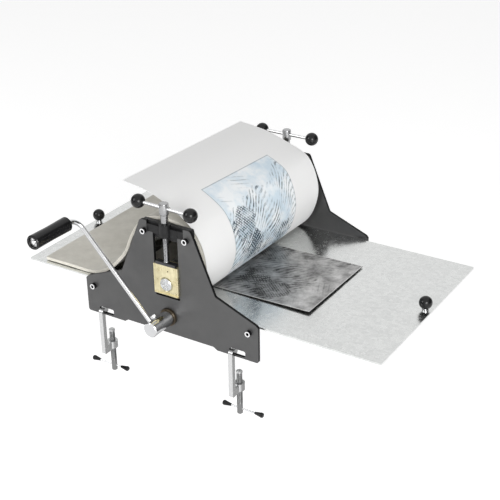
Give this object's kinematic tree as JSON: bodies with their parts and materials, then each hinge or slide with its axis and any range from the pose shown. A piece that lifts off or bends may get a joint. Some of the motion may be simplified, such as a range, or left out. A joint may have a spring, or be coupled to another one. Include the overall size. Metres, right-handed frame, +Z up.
{
  "type": "table top etching press",
  "caption": "Table-top roller press with a sliding bed: a crank drives the lower roller, two T-handled screws load the upper one, and clamps hold it to a table.",
  "frame": {"origin": "on the table top under the rollers, midway between the side plates", "axes": "+X along the bed towards the delivered print, +Y from the crank side to the far side, +Z up"},
  "size_m": [0.6852, 0.5352, 0.3731],
  "materials": {
    "dark_paint": "satin",
    "black_steel": "satin",
    "bright_steel": "brushed",
    "bed_steel": "mottled",
    "chrome": "polished",
    "zinc": "zinc plated",
    "brass": "machined",
    "dark_bronze": "oil stained",
    "pad_steel": "blued",
    "black_plastic": "gloss",
    "felt": "woollen felt",
    "paper": "matt",
    "etched_metal": "etched and inked"
  },
  "bodies": {
    "frame": {"near_side_plate": "dark_paint", "far_side_plate": "dark_paint", "near_crosshead": "black_steel", "far_crosshead": "black_steel", "near_cap_screws": "zinc", "far_cap_screws": "zinc", "rear_tie_bar": "bright_steel", "front_tie_bar": "bright_steel", "near_drive_bush": "dark_bronze", "far_drive_bush": "dark_bronze", "inner_blanket": "felt", "outer_blanket": "felt", "paper": "paper", "near_rear_clamp": "zinc", "near_front_clamp": "zinc", "far_rear_clamp": "zinc", "far_front_clamp": "zinc"},
    "bed": {"bed": "bed_steel", "rear_stop_stem": "chrome", "front_stop_stem": "chrome", "rear_stop_ball": "black_plastic", "front_stop_ball": "black_plastic", "etched_plate": "etched_metal"},
    "drive": {"drive_roller": "bright_steel", "crank_hub": "chrome", "crank_lock_screw": "zinc", "crank_rod": "chrome", "grip_retainer": "zinc"},
    "grip": {"crank_grip": "black_plastic"},
    "near_bearing": {"near_bearing_block": "brass", "near_pad": "pad_steel"},
    "far_bearing": {"far_bearing_block": "brass", "far_pad": "pad_steel"},
    "pressure_roller": {"pressure_roller": "bright_steel"},
    "near_screw": {"near_pressure_screw": "chrome", "near_tee_bar": "chrome", "near_tee_balls": "black_plastic"},
    "far_screw": {"far_pressure_screw": "chrome", "far_tee_bar": "chrome", "far_tee_balls": "black_plastic"},
    "near_rear_tip": {"near_rear_clamp_tip": "bright_steel"},
    "near_rear_jack": {"near_rear_clamp_screw": "zinc"},
    "near_rear_tommy": {"near_rear_tommy_bar": "chrome", "near_rear_tommy_caps": "black_plastic"},
    "near_front_tip": {"near_front_clamp_tip": "bright_steel"},
    "near_front_jack": {"near_front_clamp_screw": "zinc"},
    "near_front_tommy": {"near_front_tommy_bar": "chrome", "near_front_tommy_caps": "black_plastic"},
    "far_rear_tip": {"far_rear_clamp_tip": "bright_steel"},
    "far_rear_jack": {"far_rear_clamp_screw": "zinc"},
    "far_rear_tommy": {"far_rear_tommy_bar": "chrome", "far_rear_tommy_caps": "black_plastic"},
    "far_front_tip": {"far_front_clamp_tip": "bright_steel"},
    "far_front_jack": {"far_front_clamp_screw": "zinc"},
    "far_front_tommy": {"far_front_tommy_bar": "chrome", "far_front_tommy_caps": "black_plastic"}
  },
  "joints": [
    {"name": "crank_turn", "type": "hinge", "parent": "frame", "child": "drive", "pos_m": [0, 0, 0.0355], "axis": [0, 1, 0], "range_deg": [-752.8, 264.34]},
    {"name": "bed_slide", "type": "slide", "parent": "frame", "child": "bed", "axis": [1, 0, 0], "range_m": [-0.285, 0.1], "deforming": ["inner_blanket", "outer_blanket", "paper"]},
    {"name": "roller_turn", "type": "hinge", "parent": "near_bearing", "child": "pressure_roller", "pos_m": [0, 0, 0.09615], "axis": [0, 1, 0], "range_deg": [-206.77, 588.74]},
    {"name": "grip_turn", "type": "hinge", "parent": "drive", "child": "grip", "pos_m": [-0.1458, -0.293, 0.19351], "axis": [0, 1, 0], "continuous": true},
    {"name": "near_bearing_lift", "type": "slide", "parent": "frame", "child": "near_bearing", "axis": [0, 0, 1], "range_m": [-0.0015, 0.036]},
    {"name": "near_screw_turn", "type": "hinge", "parent": "near_bearing", "child": "near_screw", "pos_m": [0, -0.189, 0.2], "axis": [0, 0, 1], "range_deg": [-360.5, 8640.5]},
    {"name": "far_bearing_lift", "type": "slide", "parent": "frame", "child": "far_bearing", "axis": [0, 0, 1], "range_m": [-0.00151, 0.03601]},
    {"name": "far_screw_turn", "type": "hinge", "parent": "far_bearing", "child": "far_screw", "pos_m": [0, 0.189, 0.2], "axis": [0, 0, 1], "range_deg": [-360.5, 8640.5]},
    {"name": "near_rear_screw_lift", "type": "slide", "parent": "frame", "child": "near_rear_tip", "axis": [0, 0, 1], "range_m": [-0.018, 0.021]},
    {"name": "near_rear_screw_turn", "type": "hinge", "parent": "near_rear_tip", "child": "near_rear_jack", "pos_m": [-0.139, -0.1725, -0.08], "axis": [0, 0, 1], "range_deg": [-4320.5, 5040.5]},
    {"name": "near_rear_bar_slide", "type": "slide", "parent": "near_rear_jack", "child": "near_rear_tommy", "axis": [1, 0, 0], "range_m": [-0.0095, 0.0255]},
    {"name": "near_front_screw_lift", "type": "slide", "parent": "frame", "child": "near_front_tip", "axis": [0, 0, 1], "range_m": [-0.018, 0.021]},
    {"name": "near_front_screw_turn", "type": "hinge", "parent": "near_front_tip", "child": "near_front_jack", "pos_m": [0.123, -0.1725, -0.08], "axis": [0, 0, 1], "range_deg": [-4320.5, 5040.5]},
    {"name": "near_front_bar_slide", "type": "slide", "parent": "near_front_jack", "child": "near_front_tommy", "axis": [1, 0, 0], "range_m": [-0.0235, 0.0115]},
    {"name": "far_rear_screw_lift", "type": "slide", "parent": "frame", "child": "far_rear_tip", "axis": [0, 0, 1], "range_m": [-0.018, 0.021]},
    {"name": "far_rear_screw_turn", "type": "hinge", "parent": "far_rear_tip", "child": "far_rear_jack", "pos_m": [-0.139, 0.1725, -0.08], "axis": [0, 0, 1], "range_deg": [-4320.5, 5040.5]},
    {"name": "far_rear_bar_slide", "type": "slide", "parent": "far_rear_jack", "child": "far_rear_tommy", "axis": [1, 0, 0], "range_m": [-0.0095, 0.0255]},
    {"name": "far_front_screw_lift", "type": "slide", "parent": "frame", "child": "far_front_tip", "axis": [0, 0, 1], "range_m": [-0.018, 0.021]},
    {"name": "far_front_screw_turn", "type": "hinge", "parent": "far_front_tip", "child": "far_front_jack", "pos_m": [0.123, 0.1725, -0.08], "axis": [0, 0, 1], "range_deg": [-4320.5, 5040.5]},
    {"name": "far_front_bar_slide", "type": "slide", "parent": "far_front_jack", "child": "far_front_tommy", "axis": [1, 0, 0], "range_m": [-0.0235, 0.0115]}
  ],
  "couplings": [
    {"joint": "crank_turn", "follows": "bed_slide", "rad_per_m": 46.083},
    {"joint": "roller_turn", "follows": "bed_slide", "rad_per_m": -36.036},
    {"joint": "near_screw_turn", "follows": "near_bearing_lift", "rad_per_m": 4188.8},
    {"joint": "far_bearing_lift", "follows": "near_bearing_lift", "ratio": 1},
    {"joint": "far_screw_turn", "follows": "near_bearing_lift", "rad_per_m": 4188.8},
    {"joint": "near_rear_screw_turn", "follows": "near_rear_screw_lift", "rad_per_m": 4188.8},
    {"joint": "near_front_screw_turn", "follows": "near_front_screw_lift", "rad_per_m": 4188.8},
    {"joint": "far_rear_screw_turn", "follows": "far_rear_screw_lift", "rad_per_m": 4188.8},
    {"joint": "far_front_screw_turn", "follows": "far_front_screw_lift", "rad_per_m": 4188.8}
  ]
}
